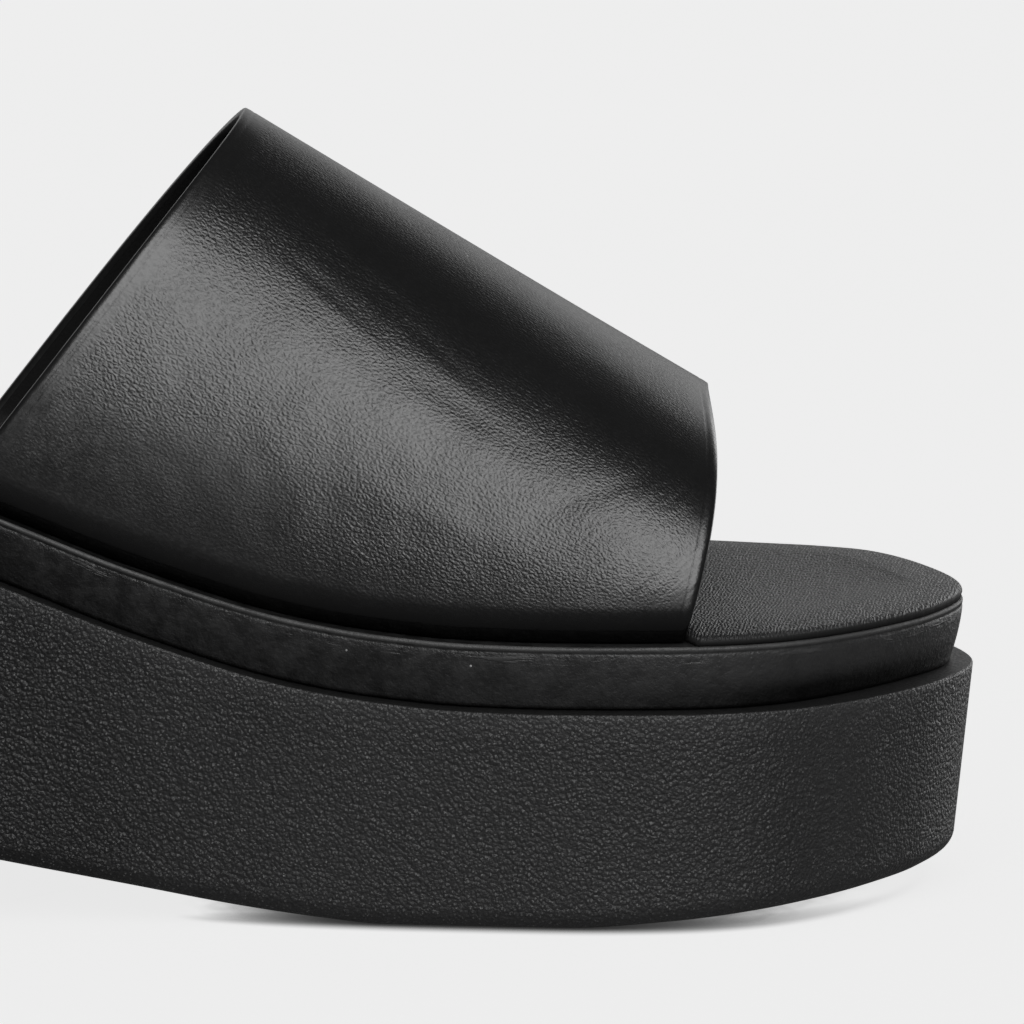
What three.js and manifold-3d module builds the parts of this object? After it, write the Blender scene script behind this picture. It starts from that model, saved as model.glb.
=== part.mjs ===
// A platform slide sandal for the right foot, in millimetres. While it is built, X runs from the
// back of the heel to the toe, Y to the inner side of the foot and Z up from the floor.
import * as THREE from "three";
import Module from "manifold-3d";

const wasm = await Module();
wasm.setup();

// Last: the footbed that every piece follows
const LENGTH = 250.5;
const BALL_WIDTH = 84.5;
const PLATFORM = 43.0; // top of the midsole above the floor, under the ball
const HEEL_RISE = 41.5; // back of the heel above the ball
const TOE_ASIDE = 1.2; // toe tip towards the inner side

// Outsole
const LEDGE = 1.6; // how far its top stands out past the footbed
const LEDGE_ROUND = 0.4;
const WALL_TAPER = 2.6; // how far its side comes in on the way to the floor
const SOLE_ROUND = 3.6;
const ARCH = 12.5;
const TOE_SPRING = 4.0;

// Midsole
const MIDSOLE = 9.5;
const MIDSOLE_UNDERCUT = 1.9; // how far its side leans in on the way down
const MIDSOLE_EDGE = 0.4;
const WAIST_INSET = 1.4; // where its side turns steeper
const WAIST_HEIGHT = 3.3;

// Footbed cover
const INSOLE = 1.6; // its top above the midsole on the outer side, the gap under it included
const INNER_LIFT = 0.5; // how much higher its top lies on the inner side
const INSOLE_INSET = 0.1;
const INSOLE_ROUND = 1.0;
const DISH = 0.9;

// Strap
const INSTEP = 68.8; // crown of its back edge above the midsole
const STRAP_WALL = 2.0;
const STRAP_INSET = 0.25; // its side, in from the rim of the midsole
const STRAP_TUCK = 2.6; // how far its feet turn in
const TUCK_HEIGHT = 5.5;
const FRONT_BULGE = 1.5; // how far the middle of its front edge's sides comes forward
const BACK_BULGE = 0.6; // and that of its back edge's sides backwards
const CROWN_ASIDE = 4; // crown towards the inner side
const FULLNESS = 0.12; // how much squarer its arch is than a half ellipse

const CLEARANCE = 0.3; // between pieces that are glued together

// Plan of the footbed: share of LENGTH, then its outer and inner half as shares of BALL_WIDTH
const PLAN = [
  { along: 0.02, outer: 0.165, inner: 0.165 },
  { along: 0.07, outer: 0.292, inner: 0.29 },
  { along: 0.14, outer: 0.348, inner: 0.342 },
  { along: 0.22, outer: 0.366, inner: 0.346 },
  { along: 0.3, outer: 0.374, inner: 0.345 },
  { along: 0.38, outer: 0.384, inner: 0.35 },
  { along: 0.46, outer: 0.402, inner: 0.362 },
  { along: 0.54, outer: 0.43, inner: 0.388 },
  { along: 0.62, outer: 0.462, inner: 0.425 },
  { along: 0.7, outer: 0.49, inner: 0.46 },
  { along: 0.78, outer: 0.509, inner: 0.489 },
  { along: 0.84, outer: 0.5, inner: 0.478 },
  { along: 0.885, outer: 0.458, inner: 0.444 },
  { along: 0.92, outer: 0.387, inner: 0.412 },
  { along: 0.95, outer: 0.298, inner: 0.362 },
  { along: 0.98, outer: 0.172, inner: 0.225 },
];

// Side of the footbed: share of LENGTH, height above the ball as a share of HEEL_RISE
const FOOTBED_SIDE = [
  { along: 0.0, rise: 1.0 },
  { along: 0.1, rise: 0.945 },
  { along: 0.18, rise: 0.88 },
  { along: 0.26, rise: 0.775 },
  { along: 0.34, rise: 0.618 },
  { along: 0.424, rise: 0.424 },
  { along: 0.503, rise: 0.243 },
  { along: 0.595, rise: 0.082 },
  { along: 0.65, rise: 0.03 },
  { along: 0.7, rise: 0.006 },
  { along: 0.75, rise: 0.0 },
  { along: 1.0, rise: 0.0 },
];

// Underside: share of LENGTH, height as a share of ARCH, and before the ball of TOE_SPRING
const UNDERSIDE = [
  { along: 0.0, arch: 0.0, spring: 0.0 },
  { along: 0.215, arch: 0.0, spring: 0.0 },
  { along: 0.24, arch: 0.32, spring: 0.0 },
  { along: 0.275, arch: 0.85, spring: 0.0 },
  { along: 0.31, arch: 1.0, spring: 0.0 },
  { along: 0.35, arch: 0.945, spring: 0.0 },
  { along: 0.424, arch: 0.655, spring: 0.0 },
  { along: 0.503, arch: 0.385, spring: 0.0 },
  { along: 0.565, arch: 0.18, spring: 0.0 },
  { along: 0.613, arch: 0.062, spring: 0.0 },
  { along: 0.65, arch: 0.0, spring: 0.0 },
  { along: 0.76, arch: 0.0, spring: 0.0 },
  { along: 0.82, arch: 0.0, spring: 0.25 },
  { along: 0.9, arch: 0.0, spring: 0.66 },
  { along: 1.02, arch: 0.0, spring: 1.0 },
];

// Edges of the strap: where its crown and its two feet lie, as shares of LENGTH, and the height of
// the crown above the midsole as a share of INSTEP
const STRAP_BACK = { crown: 0.569, outer: 0.397, inner: 0.398, height: 1.0 };
const STRAP_FRONT = { crown: 0.843, outer: 0.824, inner: 0.818, height: 0.463 };

// How finely the curved faces are cut
const STEPS_PER_ROW = 4;
const STEPS_OVER_ROUNDING = 3;
const STEPS_OVER_ROLLED_EDGE = 2;
const STRIPS_OVER_FOOTBED = 6;
const STEPS_ALONG_STRAP = 13;
const STEPS_OVER_STRAP = 38;
const STEPS_OVER_FOLD = 4;
const STEPS_IN_SLOT = 3;

const PROBE = 0.004; // how far to either side a direction on the strap is measured
const BULGE_PEAK = 0.385; // largest value of the product that shapes the bulge

const blend = THREE.MathUtils.lerp;
const evenSteps = (end, steps) => Array.from({ length: steps + 1 }, (_, k) => (end * k) / steps);

// A curve through one column of a table that never overshoots its rows
function smoothColumn(rows, column) {
  const at = rows.map((row) => row.along * LENGTH);
  const value = rows.map((row) => row[column]);
  const last = rows.length - 1;
  const slope = (k) => (value[k + 1] - value[k]) / (at[k + 1] - at[k]);
  const tangent = value.map((_, k) => {
    if (k === 0 || k === last) return 0;
    const before = slope(k - 1);
    const after = slope(k);
    if (before * after <= 0) return 0;
    return (2 * before * after) / (before + after);
  });
  return (x) => {
    if (x <= at[0]) return value[0];
    if (x >= at[last]) return value[last];
    let k = 0;
    while (x > at[k + 1]) k += 1;
    const span = at[k + 1] - at[k];
    const t = (x - at[k]) / span;
    const start = tangent[k] * span * t * (1 - t) * (1 - t);
    const end = tangent[k + 1] * span * t * t * (t - 1);
    return blend(value[k], value[k + 1], t * t * (3 - 2 * t)) + start + end;
  };
}

const riseAt = smoothColumn(FOOTBED_SIDE, "rise");
const archAt = smoothColumn(UNDERSIDE, "arch");
const springAt = smoothColumn(UNDERSIDE, "spring");
const footbedAt = (x) => PLATFORM + HEEL_RISE * riseAt(x);
const undersideAt = (x) => ARCH * archAt(x) + TOE_SPRING * springAt(x);

// Outline of the footbed seen from above, from the heel along its outer side and back along its
// inner side, so that a point and its opposite have the same place in either half
function planOutline() {
  const outer = PLAN.map((row) => new THREE.Vector3(row.along * LENGTH, -row.outer * BALL_WIDTH, 0));
  const inner = PLAN.map((row) => new THREE.Vector3(row.along * LENGTH, row.inner * BALL_WIDTH, 0));
  const heel = new THREE.Vector3(0, 0, 0);
  const toe = new THREE.Vector3(LENGTH, TOE_ASIDE, 0);
  const corners = [heel, ...outer, toe, ...inner.reverse()];
  const curve = new THREE.CatmullRomCurve3(corners, true, "centripetal");
  const count = corners.length * STEPS_PER_ROW;
  return Array.from({ length: count }, (_, k) => curve.getPoint(k / count));
}

const OUTLINE = planOutline();

// The outline moved outwards by offset, at a height that depends on how far along it lies
function ring(offset, heightAt) {
  return OUTLINE.map((point, k) => {
    const before = OUTLINE.at(k - 1);
    const after = OUTLINE[(k + 1) % OUTLINE.length];
    const along = after.clone().sub(before).normalize();
    const x = point.x + along.y * offset;
    return new THREE.Vector3(x, point.y - along.x * offset, heightAt(x));
  });
}

// Half width of the footbed on its outer side, -1, or its inner side, 1
function halfWidthAt(x, side) {
  const half = OUTLINE.length / 2;
  const inner = [OUTLINE[0], ...OUTLINE.slice(half).reverse()];
  const points = side < 0 ? OUTLINE.slice(0, half + 1) : inner;
  const k = points.findIndex((point, index) => index > 0 && point.x >= x);
  const share = (x - points[k - 1].x) / (points[k].x - points[k - 1].x);
  return Math.abs(blend(points[k - 1].y, points[k].y, share));
}

// A closed body through loops of equal count, the first one facing back and the last one facing on.
// The last one's face is cut into strips across it and sunk by dish.
function skin(loops, strips = 1, dish = () => 0) {
  const count = loops[0].length;
  const vertices = loops.flat().flatMap((point) => point.toArray());
  const triangles = [];
  for (let loop = 0; loop < loops.length - 1; loop += 1) {
    for (let k = 0; k < count; k += 1) {
      const here = loop * count + k;
      const next = loop * count + ((k + 1) % count);
      triangles.push(here, next, next + count, here, next + count, here + count);
    }
  }

  const close = (loop, first, across, facesBack) => {
    const rows = [];
    for (let k = 0; k <= count / 2; k += 1) {
      const opposite = (count - k) % count;
      const row = [first + k];
      for (let step = 1; step < across && opposite !== k; step += 1) {
        const share = step / across;
        const point = loop[k].clone().lerp(loop[opposite], share);
        row.push(vertices.length / 3);
        vertices.push(point.x, point.y, point.z - dish(share));
      }
      if (opposite !== k) row.push(first + opposite);
      rows.push(row);
    }
    for (let k = 1; k < rows.length; k += 1) {
      const columns = Math.max(rows[k - 1].length, rows[k].length) - 1;
      for (let step = 0; step < columns; step += 1) {
        const corner = (row, column) => row[Math.min(column, row.length - 1)];
        const [a, b] = [corner(rows[k - 1], step), corner(rows[k - 1], step + 1)];
        const [c, d] = [corner(rows[k], step), corner(rows[k], step + 1)];
        if (c !== d) triangles.push(a, ...(facesBack ? [d, c] : [c, d]));
        if (a !== b) triangles.push(a, ...(facesBack ? [b, d] : [d, b]));
      }
    }
  };
  close(loops[0], 0, 1, true);
  close(loops.at(-1), (loops.length - 1) * count, strips, false);
  return solid(vertices, triangles);
}

function solid(vertices, triangles) {
  const vertProperties = new Float32Array(vertices);
  const triVerts = new Uint32Array(triangles);
  return new wasm.Manifold(new wasm.Mesh({ numProp: 3, vertProperties, triVerts }));
}

function outsole() {
  const topAt = (x) => footbedAt(x) - MIDSOLE - CLEARANCE;
  const foot = LEDGE - WALL_TAPER;
  const rounding = evenSteps(Math.PI / 2, STEPS_OVER_ROUNDING).map((turn) => {
    const inset = SOLE_ROUND * (1 - Math.sin(turn));
    const lift = SOLE_ROUND * (1 - Math.cos(turn));
    return ring(foot - inset, (x) => undersideAt(x) + lift);
  });
  return skin([
    ...rounding,
    ring(LEDGE, (x) => topAt(x) - LEDGE_ROUND),
    ring(LEDGE - LEDGE_ROUND, topAt),
  ]);
}

function midsole() {
  return skin([
    ring(-MIDSOLE_UNDERCUT, (x) => footbedAt(x) - MIDSOLE),
    ring(-WAIST_INSET, (x) => footbedAt(x) - MIDSOLE + WAIST_HEIGHT),
    ring(0, (x) => footbedAt(x) - 2 * MIDSOLE_EDGE),
    ring(0, (x) => footbedAt(x) - MIDSOLE_EDGE),
    ring(-MIDSOLE_EDGE, footbedAt),
  ]);
}

function insole() {
  const underAt = (x) => footbedAt(x) + CLEARANCE;
  const rolled = evenSteps(Math.PI / 2, STEPS_OVER_ROLLED_EDGE).map((turn) => {
    const inset = INSOLE_INSET + INSOLE_ROUND * (1 - Math.cos(turn));
    const drop = INSOLE_ROUND * (1 - Math.sin(turn));
    const edge = ring(-inset, (x) => footbedAt(x) + INSOLE - drop);
    for (const point of edge) point.z += INNER_LIFT * (0.5 + point.y / BALL_WIDTH);
    return edge;
  });
  const foot = ring(-INSOLE_INSET - INSOLE_ROUND / 2, underAt);
  const dish = (share) => DISH * Math.sin(Math.PI * share);
  const pad = skin([foot, ...rolled], STRIPS_OVER_FOOTBED, dish);
  return pad.subtract(strapSlot(-1)).subtract(strapSlot(1));
}

// Outside of the strap. share goes from its back edge, 0, to its front edge, 1. turn goes from its
// outer foot, 0, over its crown, a quarter turn, to its inner foot, a half turn.
function strapOutside(share, turn) {
  const side = turn <= Math.PI / 2 ? -1 : 1;
  const foot = side < 0 ? "outer" : "inner";
  const between = (column) => blend(STRAP_BACK[column], STRAP_FRONT[column], share);
  const crownHeight = (edge) => footbedAt(edge.crown * LENGTH) + edge.height * INSTEP;
  const footX = between(foot) * LENGTH;
  const footY = side * (halfWidthAt(footX, side) - STRAP_INSET);
  const footZ = footbedAt(footX) + CLEARANCE;
  const crownX = between("crown") * LENGTH;
  const crownZ = blend(crownHeight(STRAP_BACK), crownHeight(STRAP_FRONT), share);
  const out = Math.abs(Math.cos(turn)) * (1 + FULLNESS * Math.sin(turn) ** 2);
  const up = Math.sin(turn) * (1 + FULLNESS * Math.cos(turn) ** 2);
  const reach = FRONT_BULGE * share ** 2 - BACK_BULGE * (1 - share) ** 2;
  const bulge = (reach * out ** 2 * up) / BULGE_PEAK;
  const x = blend(footX, crownX, up) + bulge;
  return new THREE.Vector3(x, blend(CROWN_ASIDE, footY, out), blend(footZ, crownZ, up));
}

// A point in the wall of the strap, depth in from its outside and beyond past its edge
function strapPoint(place, turn) {
  const ahead = strapOutside(Math.min(1, place.share + PROBE), turn);
  const along = ahead.sub(strapOutside(Math.max(0, place.share - PROBE), turn)).normalize();
  const onward = strapOutside(place.share, Math.min(Math.PI, turn + PROBE));
  const over = onward.sub(strapOutside(place.share, Math.max(0, turn - PROBE)));
  const inward = over.cross(along).normalize();
  const point = strapOutside(place.share, turn);
  point.addScaledVector(inward, place.depth).addScaledVector(along, place.beyond);
  if (turn === 0 || turn === Math.PI) point.z = footbedAt(point.x) + CLEARANCE;
  const height = point.z - footbedAt(point.x) - CLEARANCE;
  const low = Math.max(0, 1 - height / TUCK_HEIGHT);
  point.y += (turn < Math.PI / 2 ? 1 : -1) * STRAP_TUCK * low * low;
  return point;
}

// Once round the wall of the strap from the middle of its back edge, by the outside first
function wallSection(outside, inside, edge) {
  const shares = evenSteps(1, STEPS_ALONG_STRAP);
  const front = edge.map((corner) => ({ share: 1, ...corner }));
  const back = edge.map((corner) => ({ share: 0, ...corner, beyond: -corner.beyond })).reverse();
  const middle = Math.floor(edge.length / 2);
  return [
    ...back.slice(middle),
    ...shares.map((share) => ({ share, depth: outside, beyond: 0 })),
    ...front,
    ...shares.map((share) => ({ share, depth: inside, beyond: 0 })).reverse(),
    ...back.slice(0, middle),
  ];
}

function upper() {
  const foldedEdge = evenSteps(Math.PI, STEPS_OVER_FOLD).slice(1, -1).map((turn) => ({
    depth: (STRAP_WALL / 2) * (1 - Math.cos(turn)),
    beyond: (STRAP_WALL / 2) * Math.sin(turn),
  }));
  const section = wallSection(0, STRAP_WALL, foldedEdge);
  const turns = evenSteps(Math.PI, STEPS_OVER_STRAP);
  return skin(turns.map((turn) => section.map((place) => strapPoint(place, turn))));
}

// The room that a foot of the strap takes at the edge of the footbed cover, open to the outside
function strapSlot(side) {
  const outside = -2 * STRAP_WALL;
  const inside = STRAP_WALL + CLEARANCE;
  const beyond = STRAP_WALL / 2 + CLEARANCE;
  const edge = [outside, STRAP_WALL / 2, inside].map((depth) => ({ depth, beyond }));
  const section = wallSection(outside, inside, edge);
  const turns = evenSteps(Math.PI, STEPS_OVER_STRAP).slice(0, STEPS_IN_SLOT + 1);
  const loops = turns.map((turn) => {
    const place = side < 0 ? turn : Math.PI - turn;
    return section.map((corner) => strapPoint(corner, place));
  });
  loops.unshift(loops[0].map((point) => point.clone().setZ(point.z - INSOLE)));
  return skin(side < 0 ? loops : loops.reverse());
}

function geometryOf(body) {
  const mesh = body.getMesh();
  const geometry = new THREE.BufferGeometry();
  geometry.setAttribute("position", new THREE.BufferAttribute(new Float32Array(mesh.vertProperties), 3));
  geometry.setIndex(new THREE.BufferAttribute(new Uint32Array(mesh.triVerts), 1));
  geometry.computeVertexNormals();
  return geometry;
}

function piece(name, body, color, roughness) {
  const material = new THREE.MeshStandardMaterial({ color, roughness, metalness: 0 });
  const mesh = new THREE.Mesh(geometryOf(body), material);
  mesh.name = name;
  return mesh;
}

const sandal = new THREE.Group();
sandal.add(piece("outsole", outsole(), 0x1c1c1d, 0.75));
sandal.add(piece("midsole", midsole(), 0x151516, 0.6));
sandal.add(piece("insole", insole(), 0x1b1b1c, 0.55));
sandal.add(piece("upper", upper(), 0x161617, 0.42));

// Origin on the floor, under the middle of the sandal
const reach = new THREE.Box3().setFromObject(sandal);
const middle = reach.getCenter(new THREE.Vector3());
sandal.position.set(-middle.x, -middle.y, -reach.min.z);

export default sandal;
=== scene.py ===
"""A platform slide sandal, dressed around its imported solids.

Sizes are in millimetres until a mesh is made.
"""
import math

import bmesh
import bpy
import numpy as np
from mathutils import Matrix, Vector


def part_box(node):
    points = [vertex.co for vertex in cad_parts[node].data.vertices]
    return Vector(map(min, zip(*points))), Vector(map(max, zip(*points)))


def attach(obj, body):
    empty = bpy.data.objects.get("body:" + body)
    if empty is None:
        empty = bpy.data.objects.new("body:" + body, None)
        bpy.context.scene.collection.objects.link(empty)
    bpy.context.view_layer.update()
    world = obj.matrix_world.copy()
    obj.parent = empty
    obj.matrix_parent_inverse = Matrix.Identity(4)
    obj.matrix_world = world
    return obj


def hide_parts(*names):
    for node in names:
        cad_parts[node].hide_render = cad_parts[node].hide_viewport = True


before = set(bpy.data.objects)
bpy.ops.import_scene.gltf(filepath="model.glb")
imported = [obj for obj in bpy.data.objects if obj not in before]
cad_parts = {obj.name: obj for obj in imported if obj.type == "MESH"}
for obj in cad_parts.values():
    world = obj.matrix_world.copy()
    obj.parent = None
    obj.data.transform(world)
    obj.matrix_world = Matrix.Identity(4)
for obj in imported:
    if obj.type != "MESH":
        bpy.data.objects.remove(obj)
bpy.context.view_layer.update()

# Last: the footbed that every piece follows
LENGTH = 250.5
BALL_WIDTH = 84.5
PLATFORM = 43.0
HEEL_RISE = 41.5
TOE_ASIDE = 1.2

# Outsole, with a flat rim round its sunken tread
LEDGE = 1.6
LEDGE_ROUND = 0.4
WALL_TAPER = 2.6
SOLE_ROUND = 3.6
ARCH = 12.5
TOE_SPRING = 4.0
SOLE_RIM = 2.0
TREAD = 0.6
TREAD_SLOPE = 0.4
TREAD_BODY = 0.5

# Midsole: its wall leans out from the undercut to the rim, by the power HOLLOW_CURVE
MIDSOLE = 9.5
MIDSOLE_UNDERCUT = 1.9
MIDSOLE_EDGE = 0.4
HOLLOW_CURVE = 1.6

# At the outer toe the undercut is deeper by this share. It deepens between the first two shares of
# LENGTH and comes back between the last two
TOE_DEEPER = 0.7
TOE_UNDERCUT = (0.86, 0.94, 0.975, 0.995)

# Fine groove under the midsole's rim: distance below the footbed, depth
RIM_GROOVE = ((1.15, 0.1), (1.0, 0.16), (0.85, 0.06))

# Footbed cover: it rises by EDGE_RISE over EDGE_SLOPE, and its dish is full where it is FULL_DISH wide
INSOLE = 1.6
INNER_LIFT = 0.5
INSOLE_INSET = 0.1
INSOLE_ROUND = 1.0
EDGE_SLOPE = 8.0
EDGE_RISE = 0.5
DISH = 0.9
FULL_DISH = 50.0
NOTCH_MARGIN = 1.6
NOTCH_EASE = 0.8

# Strap
INSTEP = 68.8
STRAP_WALL = 2.0
STRAP_INSET = 0.25
STRAP_TUCK = 2.6
TUCK_HEIGHT = 5.5
FRONT_BULGE = 1.5
BACK_BULGE = 0.6
BULGE_PEAK = 0.385
CROWN_ASIDE = 4.0
FULLNESS = 0.12

# Fine groove along its edges: distance from the edge, depth, half width
EDGE_GROOVE = (0.7, 0.045, 0.18)

# Its rolled edge is squarer the nearer this power is to zero
ROLL_SQUARE = 0.3

# Between the pieces
CLEARANCE = 0.3
GLUE_LINE = 0.06

# Plan of the footbed: share of LENGTH, then its outer and inner half as shares of BALL_WIDTH
PLAN = (
    ("along", "outer", "inner"),
    (0.02, 0.165, 0.165),
    (0.07, 0.292, 0.29),
    (0.14, 0.348, 0.342),
    (0.22, 0.366, 0.346),
    (0.3, 0.374, 0.345),
    (0.38, 0.384, 0.35),
    (0.46, 0.402, 0.362),
    (0.54, 0.43, 0.388),
    (0.62, 0.462, 0.425),
    (0.7, 0.49, 0.46),
    (0.78, 0.509, 0.489),
    (0.84, 0.5, 0.478),
    (0.885, 0.458, 0.444),
    (0.92, 0.387, 0.412),
    (0.95, 0.298, 0.362),
    (0.98, 0.172, 0.225),
)

# Side of the footbed: share of LENGTH, height above the ball as a share of HEEL_RISE
FOOTBED_SIDE = (
    ("along", "rise"),
    (0.0, 1.0),
    (0.1, 0.945),
    (0.18, 0.88),
    (0.26, 0.775),
    (0.34, 0.618),
    (0.424, 0.424),
    (0.503, 0.243),
    (0.595, 0.082),
    (0.65, 0.03),
    (0.7, 0.006),
    (0.75, 0.0),
    (1.0, 0.0),
)

# Underside: share of LENGTH, height as a share of ARCH and of TOE_SPRING
UNDERSIDE = (
    ("along", "arch", "spring"),
    (0.0, 0.0, 0.0),
    (0.215, 0.0, 0.0),
    (0.24, 0.32, 0.0),
    (0.275, 0.85, 0.0),
    (0.31, 1.0, 0.0),
    (0.35, 0.945, 0.0),
    (0.424, 0.655, 0.0),
    (0.503, 0.385, 0.0),
    (0.565, 0.18, 0.0),
    (0.613, 0.062, 0.0),
    (0.65, 0.0, 0.0),
    (0.76, 0.0, 0.0),
    (0.82, 0.0, 0.25),
    (0.9, 0.0, 0.66),
    (1.02, 0.0, 1.0),
)

# Edges of the strap: its crown and its two feet as shares of LENGTH, its height as a share of INSTEP
STRAP_BACK = {"crown": 0.569, "outer": 0.397, "inner": 0.398, "height": 1.0}
STRAP_FRONT = {"crown": 0.843, "outer": 0.824, "inner": 0.818, "height": 0.463}

# Soft creases in the strap, in millimetres: place along it from its back edge, place over it from
# its outer foot, length, width, direction in degrees from its length, height (troughs below zero)
CREASES = (
    ("along", "over", "length", "width", "direction", "height"),
    (26.0, 52.0, 17.0, 1.5, -12.0, -0.1),
    (29.0, 49.5, 15.0, 1.3, -14.0, -0.09),
    (33.5, 50.0, 13.0, 1.1, -10.0, -0.08),
    (38.0, 47.5, 14.0, 1.3, -14.0, -0.07),
    (23.0, 46.5, 12.0, 1.6, -18.0, -0.07),
    (44.0, 45.0, 16.0, 1.6, -16.0, -0.08),
    (30.0, 43.0, 20.0, 2.4, -16.0, 0.1),
    (52.0, 38.0, 26.0, 4.0, -12.0, -0.14),
    (60.0, 20.0, 30.0, 5.0, -8.0, 0.1),
    (76.0, 30.0, 18.0, 4.0, 60.0, -0.1),
)

# How strongly they bend, and the distances from an edge where they start and are full
CREASE_BEND = 0.012
CREASE_START = 3.0
CREASE_FULL = 8.0

# Ribs of the tread, in metres, and their turn in radians
TREAD_SIZES = {
    "Field length": 0.262,
    "Field width": 0.096,
    "Spacing along": 0.0032,
    "Spacing across": 0.0078,
    "Rib length": 0.0066,
    "Rib width": 0.0013,
    "Rib height": 0.001,
    "Turn": 0.9,
}

# A rib's place is looked for from this height, in metres, this far up, where the underside is this flat
RAY_START = -0.05
RAY_LENGTH = 0.2
FLAT_UNDERSIDE = -0.985

# Loops this far inside an edge keep the face within it flat
FLAT_RIM = 1.0

# How finely the pieces are divided
POINTS_PER_ROW = 12
STEPS_OVER_STRAP = 220
STEPS_ALONG_STRAP = 76
STRIPS_OVER_INSOLE = 56
PROBE = 0.004


def table_column(table, name):
    """A curve through one column of a table that never overshoots its rows."""
    column = table[0].index(name)
    at = np.array([row[0] for row in table[1:]]) * LENGTH
    value = np.array([row[column] for row in table[1:]])
    slope = np.diff(value) / np.diff(at)
    tangent = np.zeros(len(value))
    for k in range(1, len(value) - 1):
        if slope[k - 1] * slope[k] > 0:
            tangent[k] = 2 * slope[k - 1] * slope[k] / (slope[k - 1] + slope[k])

    def curve(x):
        x = np.clip(x, at[0], at[-1])
        k = np.clip(np.searchsorted(at, x) - 1, 0, len(at) - 2)
        span = at[k + 1] - at[k]
        t = (x - at[k]) / span
        bend = tangent[k] * t * (1 - t) ** 2 + tangent[k + 1] * t * t * (t - 1)
        return value[k] + (value[k + 1] - value[k]) * t * t * (3 - 2 * t) + span * bend

    return curve


rise_at = table_column(FOOTBED_SIDE, "rise")
arch_at = table_column(UNDERSIDE, "arch")
spring_at = table_column(UNDERSIDE, "spring")


def footbed_at(x):
    return PLATFORM + HEEL_RISE * rise_at(x)


def underside_at(x):
    return ARCH * arch_at(x) + TOE_SPRING * spring_at(x)


def closed_curve(corners, per_corner):
    """Points on the smooth closed curve through the corners, timed by the roots of its chords."""
    corners = np.array(corners, float)
    count = len(corners)
    points = []
    for k in range(count):
        p = [corners[(k + step) % count] for step in (-1, 0, 1, 2)]
        d = [math.sqrt(np.linalg.norm(p[n + 1] - p[n])) for n in range(3)]
        start = (p[1] - p[0]) / d[0] - (p[2] - p[0]) / (d[0] + d[1]) + (p[2] - p[1]) / d[1]
        end = (p[2] - p[1]) / d[1] - (p[3] - p[1]) / (d[1] + d[2]) + (p[3] - p[2]) / d[2]
        start, end = start * d[1], end * d[1]
        for step in range(per_corner):
            t = step / per_corner
            cubic = (2 * (p[1] - p[2]) + start + end) * t ** 3
            square = (3 * (p[2] - p[1]) - 2 * start - end) * t ** 2
            points.append(cubic + square + start * t + p[1])
    return np.array(points)


def plan_outline():
    """Outline of the footbed from the heel along its outer side and back along its inner side."""
    outer = [(row[0] * LENGTH, -row[1] * BALL_WIDTH) for row in PLAN[1:]]
    inner = [(row[0] * LENGTH, row[2] * BALL_WIDTH) for row in PLAN[1:]]
    return closed_curve([(0, 0), *outer, (LENGTH, TOE_ASIDE), *reversed(inner)], POINTS_PER_ROW)


OUTLINE = plan_outline()
HALF = len(OUTLINE) // 2
MIDDLE = np.array([
    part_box("midsole")[0].x * 1000,
    -(OUTLINE[:, 1].min() + OUTLINE[:, 1].max()) / 2,
    0.0,
])


def ring(offset, height_at):
    """The outline moved outwards by offset, which may vary along it, at a height that depends on x."""
    along = np.roll(OUTLINE, -1, 0) - np.roll(OUTLINE, 1, 0)
    along /= np.linalg.norm(along, axis=1)[:, None]
    x = OUTLINE[:, 0] + along[:, 1] * offset
    y = OUTLINE[:, 1] - along[:, 0] * offset
    return np.stack([x, y, height_at(x)], 1)


def half_width_at(x, side):
    outer, inner = OUTLINE[:HALF + 1], np.vstack([OUTLINE[:1], OUTLINE[HALF:][::-1]])
    return np.where(
        side < 0,
        np.abs(np.interp(x, outer[:, 0], outer[:, 1])),
        np.abs(np.interp(x, inner[:, 0], inner[:, 1])),
    )


def strap_outside(share, turn):
    """Outside of the strap.

    share runs from its back to its front edge, turn from its outer foot, 0, to its inner foot, pi.
    """
    side = np.where(turn <= math.pi / 2, -1.0, 1.0)

    def between(name):
        return STRAP_BACK[name] + (STRAP_FRONT[name] - STRAP_BACK[name]) * share

    foot_x = np.where(side < 0, between("outer"), between("inner")) * LENGTH
    foot_y = side * (half_width_at(foot_x, side) - STRAP_INSET)
    foot_z = footbed_at(foot_x) + CLEARANCE
    crown_x = between("crown") * LENGTH
    back_z, front_z = (
        footbed_at(edge["crown"] * LENGTH) + edge["height"] * INSTEP for edge in (STRAP_BACK, STRAP_FRONT)
    )
    crown_z = back_z + (front_z - back_z) * share
    out = np.abs(np.cos(turn)) * (1 + FULLNESS * np.sin(turn) ** 2)
    up = np.sin(turn) * (1 + FULLNESS * np.cos(turn) ** 2)
    reach = FRONT_BULGE * share ** 2 - BACK_BULGE * (1 - share) ** 2
    x = foot_x + (crown_x - foot_x) * up + reach * out ** 2 * up / BULGE_PEAK
    y = CROWN_ASIDE + (foot_y - CROWN_ASIDE) * out
    return np.stack([x, y, foot_z + (crown_z - foot_z) * up], -1)


def unit(vectors):
    return vectors / np.linalg.norm(vectors, axis=-1, keepdims=True)


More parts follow.
